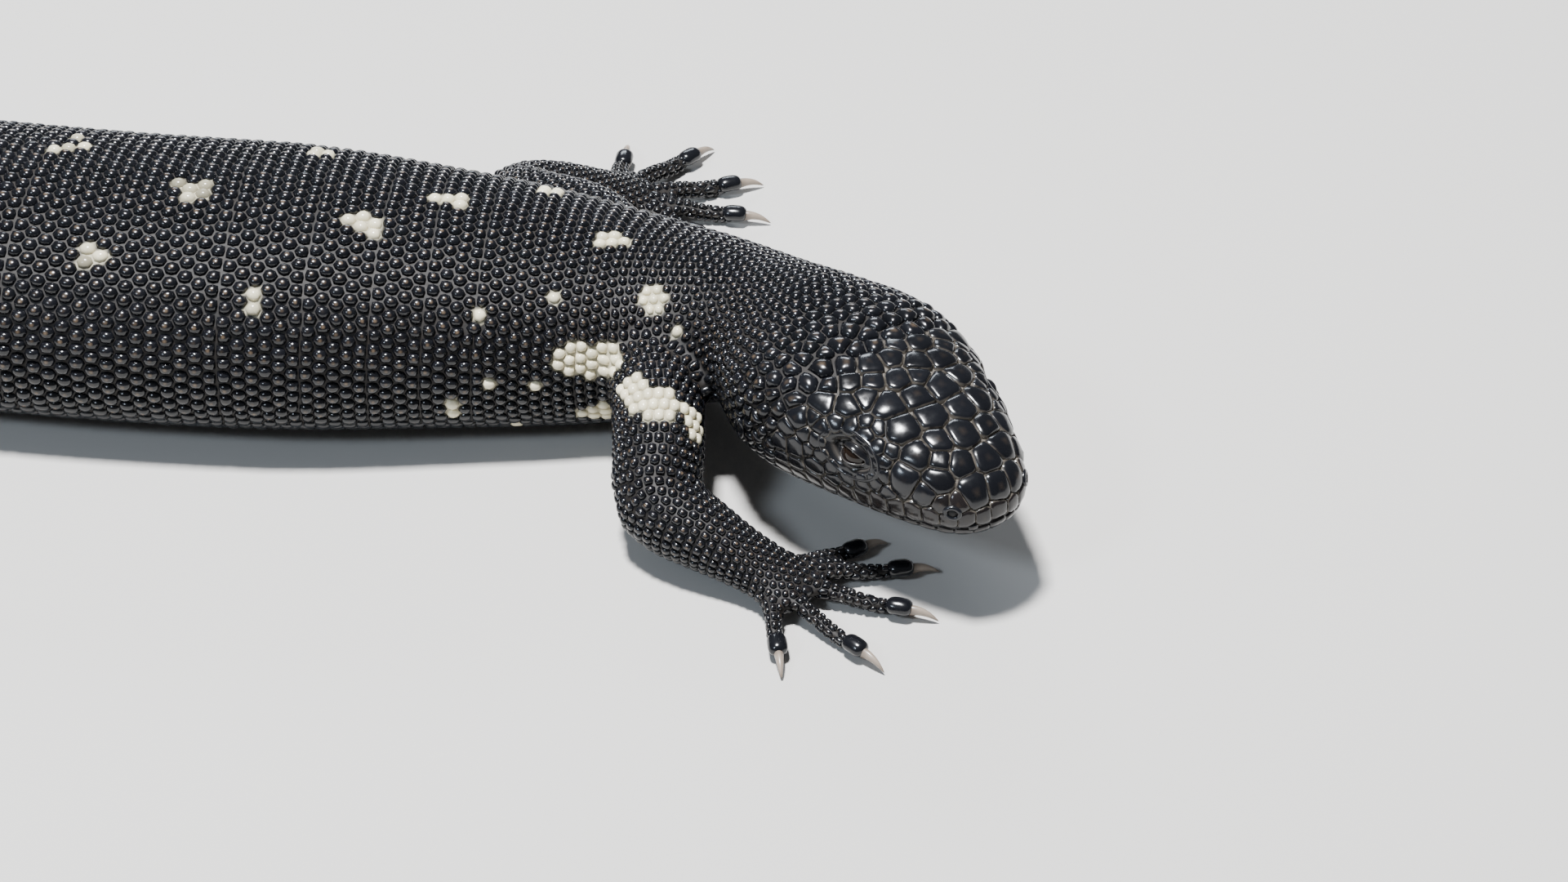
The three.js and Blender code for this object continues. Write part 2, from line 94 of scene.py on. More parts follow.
# Joints are back from the root, out from it and over the floor; side is -1 on the right.
LEGS = {
    "fore_right": dict(
        side=-1, root=101, front=True, heading=-28, fan=[61, 38, 14, -17, -56],
        lengths=[15.5, 23.5, 24.5, 22.5, 14],
        joints=[[-4, 12, 18], [-10.8, 29.4, 19], [-14, 41, 15.5], [-16, 49, 11], [-26, 54, 9.2],
                [-38, 57.3, 5.6], [-46, 59.3, 3.3]],
    ),
    "fore_left": dict(
        side=1, root=105, front=True, heading=30, fan=[58, 35, 12, -17, -54],
        lengths=[15.5, 23.5, 24.5, 22.5, 14],
        joints=[[0, 12, 17], [12, 28, 17.5], [27, 38, 14], [32, 46, 10.5], [26, 53, 8.5],
                [16, 58, 5.6], [9, 62, 3.3]],
    ),
    "hind_right": dict(
        side=-1, root=322, front=False, heading=-60, fan=[54, 31, 8, -16, -46],
        lengths=[14, 20, 23, 23, 16],
        joints=[[0, 11, 16], [-6, 30, 17], [-13, 44, 15], [-8, 52, 11.5], [6, 57, 8.5],
                [15, 62, 5.4], [12, 69, 3.3]],
    ),
    "hind_left": dict(
        side=1, root=322, front=False, heading=28, fan=[54, 31, 8, -16, -46],
        lengths=[14, 20, 23, 23, 16],
        joints=[[0, 11, 16], [4, 30, 17], [4, 44, 15], [10, 52, 11.5], [22, 57, 8.5],
                [29, 62, 5.4], [25, 69, 3.3]],
    ),
}
# Share of the limb's length, half width, half height.
FORE_RADII = [
    [0, 9.8, 10.0], [0.3, 9.4, 9.4], [0.5, 9.2, 8.8], [0.66, 8.4, 7.8], [0.84, 6.9, 5.6],
    [1, 7.6, 3.7],
]
HIND_RADII = [
    [0, 11.4, 10.8], [0.25, 10.8, 10.4], [0.45, 9.6, 9.2], [0.64, 8.6, 7.9], [0.84, 6.9, 5.6],
    [1, 7.8, 3.7],
]
DIGIT_RADIUS = 2.45
DIGIT_RADII = [
    [0, DIGIT_RADIUS, DIGIT_RADIUS],
    [0.55, DIGIT_RADIUS * 0.94, DIGIT_RADIUS * 0.94],
    [0.85, DIGIT_RADIUS * 0.92, DIGIT_RADIUS * 0.94],
    [1, DIGIT_RADIUS * 0.62, DIGIT_RADIUS * 0.68],
]
PALM_SPREAD = 2.4
# Station, height of the line of the mouth over MOUTH_HEIGHT.
MOUTH_HEIGHT = 22.5
LIP = [[-8, -0.8], [2, -1.0], [10, -1.6], [20, -2.7], [30, -3.6], [37, -4.6]]

# The distance between neighbouring scales, by station along the back or by share of a limb.
PITCH = [
    [0, 5.4], [5, 5.6], [12, 5.6], [30, 5.2], [44, 4.5], [52, 3.5], [60, 2.75], [70, 2.3],
    [90, 2.3], [130, 2.8], [200, 3.1], [340, 3.0], [440, 2.9], [520, 2.5], [575, 2.0], [600, 1.5],
]
LEG_PITCH = [[0, 2.6], [0.35, 2.45], [0.6, 2.25], [0.85, 1.9], [1, 1.7]]
DIGIT_PITCH = [[0, 2.45], [1, 2.45]]
# Each row of large plates over the head: its station, and the spacing of its plates.
PLATE_ROWS = [
    [3.2, 5.8], [9, 6.1], [14.8, 6.2], [20.4, 6.2], [26.0, 6.2], [31.6, 6.0], [37.2, 5.8],
    [42.6, 5.3], [47.4, 4.7],
]
# Angles round the body in degrees, from the left over the back.
PLATE_SPAN = (20, 160)
BELLY_SPAN = (200, 340)
# Stations where the head's large plates, its scales and the nape's scales end.
PLATES_END = 41
HEAD_END = 43
NAPE_END = 58
# The way from one row of scales to the next, as a share of their pitch.
ROW_STEP = 0.87
DIGIT_ROW_STEP = 0.66

HEAD, LIP_SCALE, LID_SCALE, BEAD, DIGIT, BELLY, LOWER_LIP, NAPE = range(8)
# A scale's height as a share of its pitch.
HEIGHT_SHARE = {
    HEAD: 0.21, LIP_SCALE: 0.15, LID_SCALE: 0.24, BEAD: 0.36, DIGIT: 0.24, BELLY: 0.20,
    LOWER_LIP: 0.15, NAPE: 0.31,
}
Scale = namedtuple("Scale", "place normal forward pitch kind")

SKIN_VOXEL = 1.15
EVENED_END = 52             # station up to which the skin is evened out more
BOX_MARGIN = 0.02           # how far the pieces stay inside the solids' box
SKIN_FLOOR = 0.25           # how far over the floor each piece ends
SCALE_FLOOR = 0.05
CLAW_FLOOR = 0.08


def profile(rows, s, column=1):
    """The value at s of a smooth curve through the rows that never overshoots them."""
    last = len(rows) - 1
    if s <= rows[0][0]:
        return rows[0][column]
    if s >= rows[last][0]:
        return rows[last][column]
    i = 0
    while s > rows[i + 1][0]:
        i += 1

    def slope(k):
        if k <= 0 or k >= last:
            return 0.0
        before = (rows[k][column] - rows[k - 1][column]) / (rows[k][0] - rows[k - 1][0])
        after = (rows[k + 1][column] - rows[k][column]) / (rows[k + 1][0] - rows[k][0])
        return 0.0 if before * after <= 0 else 2 * before * after / (before + after)

    span = rows[i + 1][0] - rows[i][0]
    t = (s - rows[i][0]) / span
    rise = rows[i + 1][column] - rows[i][column]
    a = slope(i) * span
    b = slope(i + 1) * span
    return rows[i][column] + t * a + t * t * (3 * rise - 2 * a - b) + t ** 3 * (a + b - 2 * rise)


def unit(v):
    return v / max(np.linalg.norm(v), 1e-12)


def at_height(point, height):
    """The same place in plan, at a height over the floor."""
    return np.array([point[0], point[1], height])


spine = [np.zeros(2)]
for step in range(TOTAL_LENGTH + 2):
    turn = math.radians(profile(HEADING, step + 0.5))
    spine.append(spine[-1] - np.array([math.cos(turn), math.sin(turn)]))


def spine_point(s):
    i = min(max(int(math.floor(s)), 0), TOTAL_LENGTH)
    x, y = spine[i] + (spine[i + 1] - spine[i]) * (s - i)
    return np.array([x, y, profile(BODY, s, 4)])


def spine_frame(s):
    """The spine's place at a station, and its ways forward, left and up."""
    forward = unit(spine_point(s - 1.5) - spine_point(s + 1.5))
    left = unit(np.array([-forward[1], forward[0], 0.0]))
    return spine_point(s), forward, left, np.cross(forward, left)


def box_middle(node):
    low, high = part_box(node)
    return (np.array(low) + np.array(high)) / 2 / MM


def eye_frame(side):
    """Which way the eye of one side looks, and the ways ahead and above across it."""
    _, forward, left, up = spine_frame(EYE_STATION)
    look = unit(forward * EYE_LOOK[0] + left * side + up * EYE_LOOK[1])
    ahead = unit(forward - look * (forward @ look))
    above = np.cross(look, ahead)
    return look, ahead, above * (1 if above @ up > 0 else -1)


Eye = namedtuple("Eye", "label side centre look ahead above")
EYES = [
    Eye("right", -1, box_middle("eye_right"), *eye_frame(-1)),
    Eye("left", 1, box_middle("eye_left"), *eye_frame(1)),
]
right_eye = EYES[0].centre
SHIFT = np.append(((right_eye + EYES[1].centre) / 2 - spine_point(EYE_STATION))[:2], 0.0)


def skin_point(s, angle):
    """A place on the body's surface at a station and an angle round it, 0 at the left."""
    centre, _, left, up = spine_frame(s)
    c = math.cos(angle)
    n = math.sin(angle)
    power = 2 / profile(SQUARE_TOP if n > 0 else SQUARE_BOTTOM, s)
    across = math.copysign(abs(c) ** power, c) * profile(BODY, s, 1)
    rise = math.copysign(abs(n) ** power, n) * profile(BODY, s, 2 if n > 0 else 3)
    return centre + left * across + up * rise + SHIFT


def walked(points):
    """The distance walked along a line of points, at each of them."""
    return np.concatenate([[0], np.cumsum(np.linalg.norm(np.diff(points, axis=0), axis=1))])


def smooth_curve(points, count):
    """An even walk along a curve through the points, and the curve's length."""
    pts = [2 * points[0] - points[1]] + list(points) + [2 * points[-1] - points[-2]]
    fine = []
    for i in range(1, len(pts) - 2):
        p0, p1, p2, p3 = pts[i - 1:i + 3]
        knots = [0.0]
        for a, b in ((p0, p1), (p1, p2), (p2, p3)):
            knots.append(knots[-1] + max(np.linalg.norm(b - a), 1e-6) ** 0.5)
        t0, t1, t2, t3 = knots
        for t in np.linspace(t1, t2, 24, endpoint=False):
            a1 = (t1 - t) / (t1 - t0) * p0 + (t - t0) / (t1 - t0) * p1
            a2 = (t2 - t) / (t2 - t1) * p1 + (t - t1) / (t2 - t1) * p2
            a3 = (t3 - t) / (t3 - t2) * p2 + (t - t2) / (t3 - t2) * p3
            b1 = (t2 - t) / (t2 - t0) * a1 + (t - t0) / (t2 - t0) * a2
            b2 = (t3 - t) / (t3 - t1) * a2 + (t - t1) / (t3 - t1) * a3
            fine.append((t2 - t) / (t2 - t1) * b1 + (t - t1) / (t2 - t1) * b2)
    fine.append(pts[-2])
    fine = np.array(fine)
    along = walked(fine)
    want = np.linspace(0, along[-1], count + 1)
    return np.stack([np.interp(want, along, fine[:, k]) for k in range(3)], 1), along[-1]


def tube_ring(line, share, radii):
    """Centre, axes and radii of one ring of a limb."""
    n = len(line) - 1
    x = share * n
    i = min(int(x), n - 1)
    centre = line[i] + (line[i + 1] - line[i]) * (x - i)
    along = unit(line[min(i + 2, n)] - line[max(i - 1, 0)])
    across = unit(np.cross([0, 0, 1.0], along))
    up = unit(np.cross(along, across))
    return centre, along, across, up, profile(radii, share, 1), profile(radii, share, 2)


# The skin's own surface is the flesh solids joined and evened out.
FLESH = [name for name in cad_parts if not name.startswith(("claw", "eye"))]
copies = []
for name in FLESH:
    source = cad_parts[name]
    data = source.data.copy()
    data.transform(source.matrix_world)
    copy = bpy.data.objects.new("flesh of " + name, data)
    bpy.context.scene.collection.objects.link(copy)
    copies.append(copy)


def join_pieces(parts, name):
    """Several pieces joined to one with a name."""
    bpy.ops.object.select_all(action="DESELECT")
    for part in parts:
        part.select_set(True)
    bpy.context.view_layer.objects.active = parts[0]
    bpy.ops.object.join()
    parts[0].name = name
    return parts[0]


skin = join_pieces(copies, "skin")
bpy.ops.object.mode_set(mode="EDIT")
bpy.ops.mesh.select_all(action="SELECT")
bpy.ops.mesh.remove_doubles(threshold=0.000002)
bpy.ops.object.mode_set(mode="OBJECT")
join = skin.modifiers.new("join", "REMESH")
join.mode = "VOXEL"
join.voxel_size = SKIN_VOXEL * MM
join.adaptivity = 0.0
bpy.ops.object.modifier_apply(modifier=join.name)


def nearest_station(points):
    """Station along the back of each point, and how far it lies to the left."""
    stride = 4.0
    batch = 8000
    stations = np.arange(0, TOTAL_LENGTH + 1, stride)
    line = np.array([spine_point(s) + SHIFT for s in stations])
    forwards = np.array([spine_frame(s)[1] for s in stations])
    lefts = np.array([spine_frame(s)[2] for s in stations])
    best = np.empty(len(points), dtype=int)
    for start in range(0, len(points), batch):
        part = points[start:start + batch]
        gap = np.linalg.norm(part[:, None, :2] - line[None, :, :2], axis=2)
        best[start:start + batch] = gap.argmin(1)
    gap = points - line[best]
    back = -np.sum(gap[:, :2] * forwards[best][:, :2], 1)
    back = np.clip(back, -stride / 2, stride / 2)
    return np.clip(stations[best] + back, 0, TOTAL_LENGTH), np.sum(gap * lefts[best], 1)


def inside(points, floor_gap):
    """The points, kept inside the solids' own box and a little over the floor."""
    low = np.array(cad_low) / MM + BOX_MARGIN
    low[2] = floor_gap
    return np.clip(points, low, np.array(cad_high) / MM - BOX_MARGIN)


def vertex_arrays(mesh):
    """The places and the normals of a mesh's vertices."""
    co = np.empty(len(mesh.vertices) * 3)
    mesh.vertices.foreach_get("co", co)
    no = np.empty(len(mesh.vertices) * 3)
    mesh.vertex_normals.foreach_get("vector", no)
    return co.reshape(-1, 3) / MM, no.reshape(-1, 3)


# The solids' raised plates are evened out, because the head's scales stand there instead.
head_group = skin.vertex_groups.new(name="head")
near_head = nearest_station(vertex_arrays(skin.data)[0])[0] < EVENED_END
head_group.add([int(i) for i in np.flatnonzero(near_head)], 1.0, "REPLACE")
for name, group, turns in (("even", "", 5), ("even head", "head", 12)):
    even = skin.modifiers.new(name, "SMOOTH")
    even.factor = 0.5
    even.iterations = turns
    even.vertex_group = group
    bpy.ops.object.modifier_apply(modifier=even.name)
skin.vertex_groups.clear()
bpy.ops.object.shade_smooth()

outer, outer_normals = vertex_arrays(skin.data)
skin_faces = [tuple(p.vertices) for p in skin.data.polygons]
surface = BVHTree.FromPolygons([Vector(v) for v in outer], skin_faces)


def on_surface(point):
    """The nearest place on the surface, its smooth normal, and how far off it is."""
    hit, _, face, distance = surface.find_nearest(Vector(point))
    corners = list(skin_faces[face])
    place = np.array(hit)
    weight = 1 / (np.linalg.norm(outer[corners] - place, axis=1) + 0.05)
    return place, unit((outer_normals[corners] * weight[:, None]).sum(0)), distance


# First each scale's root is planted: its place, normal, way forward, pitch and kind.
planted = []


def plant(point, forward, pitch, kind, reach=1.3):
    place, normal, distance = on_surface(point)
    if distance < reach:
        planted.append(Scale(place, normal, forward, pitch, kind))


def head_pitch(s, angle):
    """Plates are largest on the crown, smaller at the temples and finest on the throat."""
    pitch = profile(PITCH, s)
    degrees = math.degrees(angle) % 360
    side = abs(degrees - 90)
    if degrees > 180:
        return min(pitch, 2.9 if s < 50 else 3.3)
    return pitch * (1.0 if side < 45 else 1.0 - 0.14 * min((side - 45) / 45, 1))


def plate_rows():
    """The large plates over the top of the head, where the solids raise them."""
    for i, (s, spacing) in enumerate(PLATE_ROWS):
        angles = np.radians(np.linspace(PLATE_SPAN[0], PLATE_SPAN[1], 61))
        along = walked(np.array([skin_point(s, a) for a in angles]))
        total = int(round(along[-1] / spacing))
        start = 0.25 if i % 2 else 0.75
        for k in range(total):
            angle = float(np.interp(along[-1] * (k + start) / total, along, angles))
            stray = RANDOM.normal(size=2)
            point = skin_point(s + 0.9 * stray[0], angle + 0.028 * stray[1])
            size = spacing * RANDOM.uniform(0.74, 1.14)
            plant(point, spine_frame(s)[1], size, HEAD if s < PLATES_END else NAPE)


def under_body(angle):
    return BELLY_SPAN[0] < math.degrees(angle) < BELLY_SPAN[1]


def ring_kind(s, below):
    if below:
        return BELLY
    return HEAD if s < HEAD_END else (NAPE if s < NAPE_END else BEAD)


def body_rings():
    """Rings of scales from snout to tail, each shifted by half a scale from the last."""
    s = 1.0
    odd = False
    angles = np.linspace(0, 2 * math.pi, 97)
    while s < TOTAL_LENGTH - 1:
        pitch = profile(PITCH, s)
        ring = np.array([skin_point(s, a) for a in angles])
        local = [head_pitch(s, a) if s < NECK_START + 4 else pitch for a in angles]
        wider = [1.12 if under_body(a) and s > 110 else 1.0 for a in angles]
        local = np.array([p * more for p, more in zip(local, wider)])
        lengths = np.linalg.norm(np.diff(ring, axis=0), axis=1)
        units = np.concatenate([[0], np.cumsum(lengths / ((local[1:] + local[:-1]) / 2))])
        total = max(5, int(round(units[-1])))
        forward = spine_frame(s)[1]
        for value in (np.arange(total) + (0.5 if odd else 0.0)) / total * units[-1]:
            angle = float(np.interp(value, units, angles))
            size = float(np.interp(value, units, local))
            degrees = math.degrees(angle) % 360
            if 2.2 < s < 50 and PLATE_SPAN[0] + 2 < degrees < PLATE_SPAN[1] - 2:
                continue
            stray = RANDOM.normal(size=2) * 0.1 * size
            point = skin_point(s + stray[0], angle + stray[1] / profile(BODY, s, 1))
            plant(point, forward, size, ring_kind(s, under_body(angle)))
        row_step = ROW_STEP * (0.96 * pitch if s < NECK_START else pitch)
        crest = skin_point(s, math.pi / 2)
        while np.linalg.norm(skin_point(s, math.pi / 2) - crest) < row_step and s < TOTAL_LENGTH:
            s += 0.2
        odd = not odd


def tube_rings(line, length, radii, first, last, pitches, kind, advance):
    """Rings of scales round a limb, between two shares of its length."""
    share = first
    odd = False
    while share <= last:
        pitch = profile(pitches, share)
        centre, along, across, up, wide, deep = tube_ring(line, share, radii)
        oval = math.sqrt((3 * wide + deep) * (wide + 3 * deep))
        around = math.pi * (3 * (wide + deep) - oval)
        total = max(5, int(round(around / pitch)))
        for k in range(total):
            a = 2 * math.pi * (k + (0.5 if odd or kind == DIGIT else 0)) / total
            point = centre + across * math.cos(a) * wide + up * math.sin(a) * deep
            plant(point, along, pitch, kind)
        share += advance * pitch / length
        odd = not odd


digit_lines = {}


def leg_rings(leg_name, leg):
    """The scales of one leg and its digits, whose lines are kept for the claws."""
    forward = spine_frame(leg["root"])[1]
    flat = unit(at_height(forward, 0.0))
    left = np.array([-flat[1], flat[0], 0.0])
    centre = spine_point(leg["root"]) + SHIFT
    places = [
        at_height(centre - flat * back + left * leg["side"] * out, height)
        for back, out, height in leg["joints"]
    ]
    line, length = smooth_curve(places, 80)
    radii = FORE_RADII if leg["front"] else HIND_RADII
    heading = math.radians(leg["heading"])
    aside = np.array([-math.sin(heading), math.cos(heading), 0]) * -leg["side"]
    root = tube_ring(line, 0.95, radii)[0]
    for i in range(5):
        base = root + aside * PALM_SPREAD * (2 - i)
        turn = heading - leg["side"] * math.radians(leg["fan"][i])
        out = np.array([math.cos(turn), math.sin(turn), 0])
        reach = leg["lengths"][i]
        digit, run = smooth_curve([
            at_height(base + out * along, height)
            for along, height in ((-1, 3.4), (reach * 0.36, 3.7), (reach * 0.72, 2.1), (reach, 1.9))
        ], 30)
        digit_lines["%s_%d" % (leg_name, i + 1)] = digit
        tube_rings(digit, run, DIGIT_RADII, 0.25, 0.98, DIGIT_PITCH, DIGIT, DIGIT_ROW_STEP)
    tube_rings(line, length, radii, 0.0, 0.99, LEG_PITCH, BEAD, ROW_STEP)


def lip_angle(s, height, side):
    """The angle at which the skin at a station has a given height over the floor."""
    low, high = (-math.pi / 2, math.pi / 2)
    for _ in range(30):
        middle = (low + high) / 2
        angle = middle if side > 0 else math.pi - middle
        if skin_point(s, angle)[2] < height:
            low = middle
        else:
            high = middle
    middle = (low + high) / 2
    return middle if side > 0 else math.pi - middle


def lip_rows():
    """Squarish scales in a row above and a row below the line of the mouth."""
    tip, ahead, _, up = spine_frame(0)
    spacing = 3.7
    for lift, size, kind in ((2.3, 4.1, LIP_SCALE), (-2.1, 3.8, LOWER_LIP)):
        middle = tip + ahead * 0.4 + up * (lift - 0.6) + SHIFT
        plant(middle, ahead, size * 1.25, kind, reach=3.0)
        for side in (1, -1):
            s = 0.0
            before = middle
            while s < 39:
                fall = float(np.interp(s, [r[0] for r in LIP], [r[1] for r in LIP]))
                point = skin_point(s, lip_angle(s, MOUTH_HEIGHT + fall + lift, side))
                if np.linalg.norm(point - before) < spacing:
                    s += 0.1
                    continue
                plant(point, spine_frame(s)[1], size, kind)
                before = point


def eye_rings():
    """A ring of small scales round the lids of each eye."""
    total = 13
    forward = spine_frame(EYE_STATION)[1]
    for eye in EYES:
        for k in range(total):
            a = 2 * math.pi * k / total
            point = eye.centre + eye.look * 1.2 + eye.ahead * math.cos(a) * 7.9
            plant(point + eye.above * math.sin(a) * 5.5, forward, 3.2, LID_SCALE, reach=4.5)


lip_rows()
eye_rings()
plate_rows()
body_rings()
for leg_name, leg in LEGS.items():
    leg_rings(leg_name, leg)

# Scales planted too close to an earlier one are dropped, and bare places are filled.
TOO_CLOSE = 0.62
BARE = 0.8
APART = -0.2                # scales on opposite sides of a limb or fold, by their normals
CELL = 5.5
kept = []
cells = {}


def cell_of(place):
    return tuple(int(math.floor(c / CELL)) for c in place)


def accept(scale, tight):
    """Keep a scale if no earlier one stands within a share of their mean pitch."""
    x, y, z = cell_of(scale.place)
    for dx, dy, dz in product((-1, 0, 1), repeat=3):
        for k in cells.get((x + dx, y + dy, z + dz), ()):
            other = kept[k]
            if np.dot(other.normal, scale.normal) < APART:
                continue
            gap = scale.place - other.place
            if gap @ gap < (tight * (scale.pitch + other.pitch) / 2) ** 2:
                return
    cells.setdefault((x, y, z), []).append(len(kept))
    kept.append(scale)


def over_lids(point):
    """Whether a place on the surface lies under the lids of an eye."""
    for eye in EYES:
        gap = point - eye.centre
        if np.linalg.norm(gap) > 9:
            continue
        if (gap @ eye.ahead / 6.9) ** 2 + (gap @ eye.above / 4.4) ** 2 < 1:
            return True
    return False


def tree_of(spots):
    tree = KDTree(len(spots))
    for i, spot in enumerate(spots):
        tree.insert(Vector(spot), i)
    tree.balance()
    return tree


for scale in planted:
    if scale.kind not in (HEAD, BEAD, NAPE) or not over_lids(scale.place):
        accept(scale, TOO_CLOSE)
tree = tree_of([scale.place for scale in kept])
for place, normal in zip(outer, outer_normals):
    _, k, distance = tree.find(Vector(place))
    if distance >= BARE * kept[k].pitch and not over_lids(place):
        accept(Scale(place, normal, kept[k].forward, kept[k].pitch * 0.9, kept[k].kind), BARE)

# The beads push one another apart until they lie evenly.
PUSH_REACH = 1.3
for _ in range(11):
    tree = tree_of([scale.place for scale in kept])
    moved = []
    for i, scale in enumerate(kept):
        if scale.kind not in (BEAD, BELLY, NAPE):
            moved.append(scale)
            continue
        push = np.zeros(3)
        apart = PUSH_REACH * scale.pitch
        for other, k, gap in tree.find_n(Vector(scale.place), 7):
            if k != i and gap < apart and np.dot(kept[k].normal, scale.normal) > APART:
                push += (scale.place - np.array(other)) * (apart - gap) / max(gap, 0.2)
        push -= scale.normal * (push @ scale.normal)
        place, normal, _ = on_surface(scale.place + push * 0.13)
        moved.append(scale._replace(place=place, normal=normal))
    kept = moved

places, normals, forwards, pitches, kinds = (np.array(column) for column in zip(*kept))
heights = pitches * np.array([HEIGHT_SHARE[k] for k in kinds])
aheads = forwards - normals * np.sum(forwards * normals, 1)[:, None]
aheads /= np.maximum(np.linalg.norm(aheads, axis=1), 1e-6)[:, None]
asides = np.cross(normals, aheads)

# How far each scale reaches towards each of its neighbours, by their sizes.
NEIGHBOURS = 13
FAR = 1e3
tree = tree_of(places)
index = np.array([
    [k for _, k, _ in tree.find_n(Vector(place), NEIGHBOURS + 1) if k != i][:NEIGHBOURS]
    for i, place in enumerate(places)
])
delta = places[index] - places[:, None, :]
bearings = np.arctan2(
    np.einsum("ijk,ik->ij", delta, asides), np.einsum("ijk,ik->ij", delta, aheads)
)
reaches = np.linalg.norm(delta, axis=2) * pitches[:, None] / (pitches[:, None] + pitches[index])
facing = np.einsum("ijk,ik->ij", normals[index], normals)
reaches = np.where(facing < -0.1, FAR, reaches)
upper = kinds == LIP_SCALE
lower = kinds == LOWER_LIP
across_mouth = (upper[:, None] & lower[index]) | (lower[:, None] & upper[index])
reaches = np.where(across_mouth, reaches * 0.82, reaches)


def outline(sides, chosen):
    """How far each scale reaches in each direction before it meets its neighbours."""
    theta = 2 * math.pi * np.arange(sides) / sides
    cosine = np.cos(bearings[chosen][:, :, None] - theta[None, None, :])
    limit = reaches[chosen][:, :, None] / np.maximum(cosine, 0.12)
    limit = np.where(cosine > 0.12, limit, FAR)
    roomy = np.isin(kinds[chosen], [HEAD, LIP_SCALE, LOWER_LIP])
    most = np.where(roomy, 1.0, 0.74) * pitches[chosen]
    radius = np.minimum(limit.min(1), most[:, None])
    soft = (np.roll(radius, 1, 1) + np.roll(radius, -1, 1) + 2 * radius) / 4
    return theta, np.minimum(radius, soft * (1.12 if sides > 8 else 1.05))


# The colours are glossy black with cream marks by the shoulder, on the trunk and round the tail.
BLACK = np.array([0.0042, 0.0045, 0.0060])
BROWN = np.array([0.028, 0.018, 0.012])
CREAM = np.array([0.72, 0.66, 0.47])
TAN = np.array([0.24, 0.165, 0.10])
LINE = np.array([0.20, 0.175, 0.145])       # the thin pale lines between the plates of the head
# Near-black painted shade for the insides of the nostrils and ears.
PIT = np.array([0.0008, 0.0008, 0.0008])
HORN_DARK = np.array([0.07, 0.052, 0.042])
HORN_PALE = np.array([0.27, 0.22, 0.175])

# Each cream mark is a place in the solids' frame and its reach along, across and up. These
# stand round the root of the right foreleg and by the shoulder.
pale_marks = [
    ((193, -45, 24), (7, 5, 3.6)),
    ((201, -55, 26.0), (4.6, 4.2, 3.2)),
    ((207, -60, 25.0), (6.0, 3.6, 3.4)),
    ((213.5, -61.5, 21.5), (3.6, 3.4, 3.8)),
    ((195, -52, 10), (7, 10, 5)),
    ((205.5, -35.7, 32.9), (2.8, 2.5, 2.4)),
    ((210.4, -42.6, 29.4), (1.3, 1.3, 1.3)),
    ((196.8, -20.6, 36.9), (3.0, 2.2, 2.6)),
    ((172.5, -47.5, 19.2), (1.9, 1.9, 1.9)),
    ((181.7, -46.7, 18.7), (1.7, 1.7, 1.7)),
    ((165.7, -47.2, 13.0), (1.9, 1.9, 1.9)),
    ((177.4, -43.2, 7.0), (1.8, 1.8, 1.8)),
    ((186.5, -37.3, 33.8), (1.8, 1.8, 1.8)),
]
# Station, side and half size of the small marks on the trunk, which are uneven; their faintness is
# painted shade.
TRUNK_MARKS = [
    (122, 16, 2.6), (131, -22, 2.2), (140, 4, 3.0), (150, 27, 2.0), (156, -10, 3.4),
    (171, 18, 3.0), (176, -27, 2.4), (190, -2, 3.4), (199, 30, 2.6), (207, -19, 3.2),
    (221, 12, 3.4), (232, -31, 2.8), (240, -6, 3.2), (252, 24, 3.4), (262, -18, 2.8),
    (275, 5, 3.4), (288, -25, 2.6), (293, 18, 3.0), (308, -7, 3.2), (322, 13, 2.6),
    (331, -15, 2.8), (346, 2, 3.2),
]
# Marks whose middle lies at or behind this x are dimmed: painted shade.
SHADE_DIMMED_BEHIND = 150
# Station and half width of each pale band on the tail.
TAIL_BANDS = [(372, 3.0), (404, 3.4), (438, 3.2), (472, 3.4), (508, 3.2), (542, 2.8), (572, 2.2)]

for s, side, size in TRUNK_MARKS:
    angle = math.acos(max(-1, min(1, side / profile(BODY, s, 1))))
    for _ in range(3):
        stray = RANDOM.normal(size=2) * size * 0.55
        spot = skin_point(s + stray[0], angle + stray[1] / 30)
        pale_marks.append((tuple(spot), (size * 0.75, size * 0.65, size * 0.65)))


def cream_share(points):
    """1 inside a cream mark, less inside one dimmed as painted shade, and 0 outside."""
    share = np.zeros(len(points))
    for middle, size in pale_marks:
        d = np.linalg.norm((points - np.array(middle)) / np.array(size), axis=1)
        share = np.maximum(share, (d < 1) * (1.0 if middle[0] > SHADE_DIMMED_BEHIND else 0.75))
    station, side = nearest_station(points)
    for centre, half in TAIL_BANDS:
        wave = 2.2 * np.sin(side * 0.45 + centre) + 1.2 * np.sin(side * 1.3 + centre * 2)
        band = np.abs(station + wave - centre) < half
        share = np.maximum(share, band & (points[:, 2] > 5))
    return share


def material(name, values):
    """A new material with values for its shader's sockets."""
    made = bpy.data.materials.new(name)
    made.use_nodes = True
    shader = made.node_tree.nodes["Principled BSDF"]
    for socket, value in values.items():
        shader.inputs[socket].default_value = value
    return made, made.node_tree.nodes, made.node_tree.links, shader


def colour_by_tint(nodes, links, shader):
    tint = nodes.new("ShaderNodeAttribute")
    tint.attribute_name = "Tint"
    links.new(tint.outputs["Color"], shader.inputs["Base Color"])


